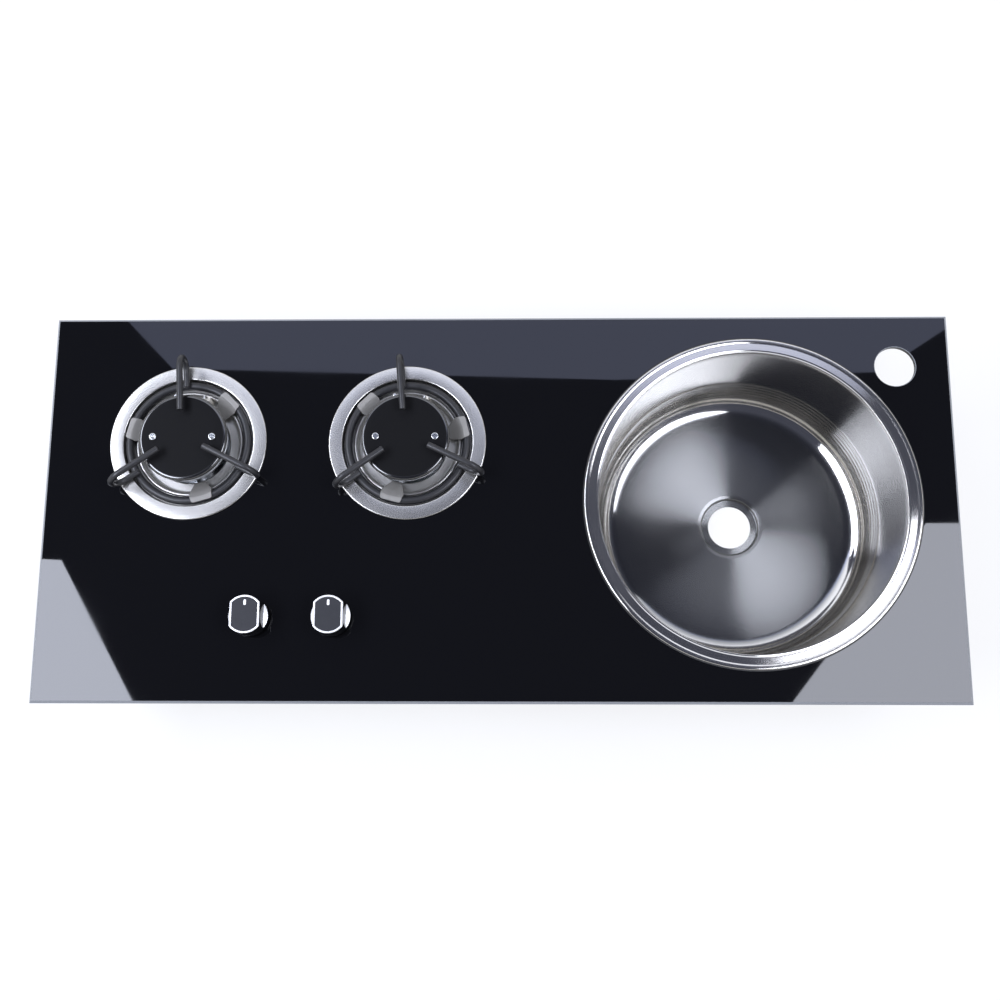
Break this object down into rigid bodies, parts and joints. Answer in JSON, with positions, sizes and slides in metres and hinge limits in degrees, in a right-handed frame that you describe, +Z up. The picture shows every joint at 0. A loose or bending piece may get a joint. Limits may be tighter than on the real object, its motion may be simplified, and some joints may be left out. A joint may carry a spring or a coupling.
{
  "type": "drop-in stove and sink panel",
  "caption": "Drop-in black glass panel with gas burners, pan supports and push-and-turn knobs on the left, a round steel sink on the right and a tap hole behind it.",
  "frame": {"origin": "middle of the panel seen from above, at the level that the sink and the burner tray stand on", "axes": "+X from the stove to the sink, +Y from the knobs to the back edge, +Z up"},
  "size_m": [0.775, 0.333, 0.1577],
  "materials": {
    "black_glass": "polished, opaque black",
    "foam_seal": "matte closed-cell foam",
    "black_rubber": "matte",
    "silicone": "satin",
    "sink_steel": "satin inside, brushed floor",
    "bowl_steel": "bright satin",
    "clip_steel": "matte grey",
    "sheet_steel": "galvanised",
    "plated_steel": "bright plated",
    "stem_steel": "turned",
    "black_enamel": "satin black enamel",
    "cap_enamel": "matte black enamel",
    "cast_aluminium": "as cast",
    "brass": "turned",
    "ceramic": "glazed ceramic",
    "knob_plastic": "matte black",
    "knob_chrome": "satin plated",
    "knob_face": "satin dark grey",
    "pointer_white": "painted line",
    "module_plastic": "matte black",
    "lead_red": "silicone sleeve"
  },
  "bodies": {
    "panel": {"glass_panel": "black_glass", "panel_seal": "foam_seal", "sink_bowl": "sink_steel", "sink_seal": "black_rubber", "sink_brackets": "sheet_steel", "sink_screws": "plated_steel", "burner_tray": "sheet_steel", "tray_bond": "silicone", "burner_chassis": "sheet_steel", "chassis_rivets": "cast_aluminium", "burner_screws": "plated_steel", "shaft_seals": "black_rubber", "gas_rail": "stem_steel", "gas_inlet": "brass", "inlet_nut": "brass", "ignition_module": "module_plastic", "ignition_leads": "lead_red", "ignition_switches": "module_plastic", "drip_bowl_left": "bowl_steel", "bowl_seal_left": "black_rubber", "ring_clips_left": "clip_steel", "burner_cap_left": "cap_enamel", "cap_screws_left": "plated_steel", "burner_head_left": "cast_aluminium", "burner_body_left": "cast_aluminium", "gas_jet_left": "brass", "igniter_ceramic_left": "ceramic", "igniter_tip_left": "stem_steel", "thermocouple_left": "stem_steel", "gas_valve_left": "cast_aluminium", "stem_spring_left": "stem_steel", "safety_magnet_left": "brass", "drip_bowl_right": "bowl_steel", "bowl_seal_right": "black_rubber", "ring_clips_right": "clip_steel", "burner_cap_right": "cap_enamel", "cap_screws_right": "plated_steel", "burner_head_right": "cast_aluminium", "burner_body_right": "cast_aluminium", "gas_jet_right": "brass", "igniter_ceramic_right": "ceramic", "igniter_tip_right": "stem_steel", "thermocouple_right": "stem_steel", "gas_valve_right": "cast_aluminium", "stem_spring_right": "stem_steel", "safety_magnet_right": "brass"},
    "plug_left": {"valve_plug_left": "brass"},
    "knob_left": {"valve_stem_left": "stem_steel", "knob_body_left": "knob_plastic", "knob_trim_left": "knob_chrome", "knob_face_left": "knob_face", "knob_pointer_left": "pointer_white"},
    "support_left": {"pan_support_left": "black_enamel"},
    "plug_right": {"valve_plug_right": "brass"},
    "knob_right": {"valve_stem_right": "stem_steel", "knob_body_right": "knob_plastic", "knob_trim_right": "knob_chrome", "knob_face_right": "knob_face", "knob_pointer_right": "pointer_white"},
    "support_right": {"pan_support_right": "black_enamel"}
  },
  "joints": [
    {"name": "knob_turn_left", "type": "hinge", "parent": "panel", "child": "plug_left", "pos_m": [-0.2064, -0.0955, 0.09], "axis": [0, 0, 1], "range_deg": [0, 210]},
    {"name": "knob_push_left", "type": "slide", "parent": "plug_left", "child": "knob_left", "axis": [0, 0, -1], "range_m": [0, 0.003], "stiffness_N_per_m": 1500, "springref_m": -0.004, "deforming": ["stem_spring_left"]},
    {"name": "support_turn_left", "type": "hinge", "parent": "panel", "child": "support_left", "pos_m": [-0.2663, 0.0546, 0.127], "axis": [0, 0, 1], "range_deg": [-30, 54]},
    {"name": "knob_turn_right", "type": "hinge", "parent": "panel", "child": "plug_right", "pos_m": [-0.1381, -0.0955, 0.09], "axis": [0, 0, 1], "range_deg": [0, 210]},
    {"name": "knob_push_right", "type": "slide", "parent": "plug_right", "child": "knob_right", "axis": [0, 0, -1], "range_m": [0, 0.003], "stiffness_N_per_m": 1500, "springref_m": -0.004, "deforming": ["stem_spring_right"]},
    {"name": "support_turn_right", "type": "hinge", "parent": "panel", "child": "support_right", "pos_m": [-0.0782, 0.0546, 0.127], "axis": [0, 0, 1], "range_deg": [-62, 22]}
  ]
}
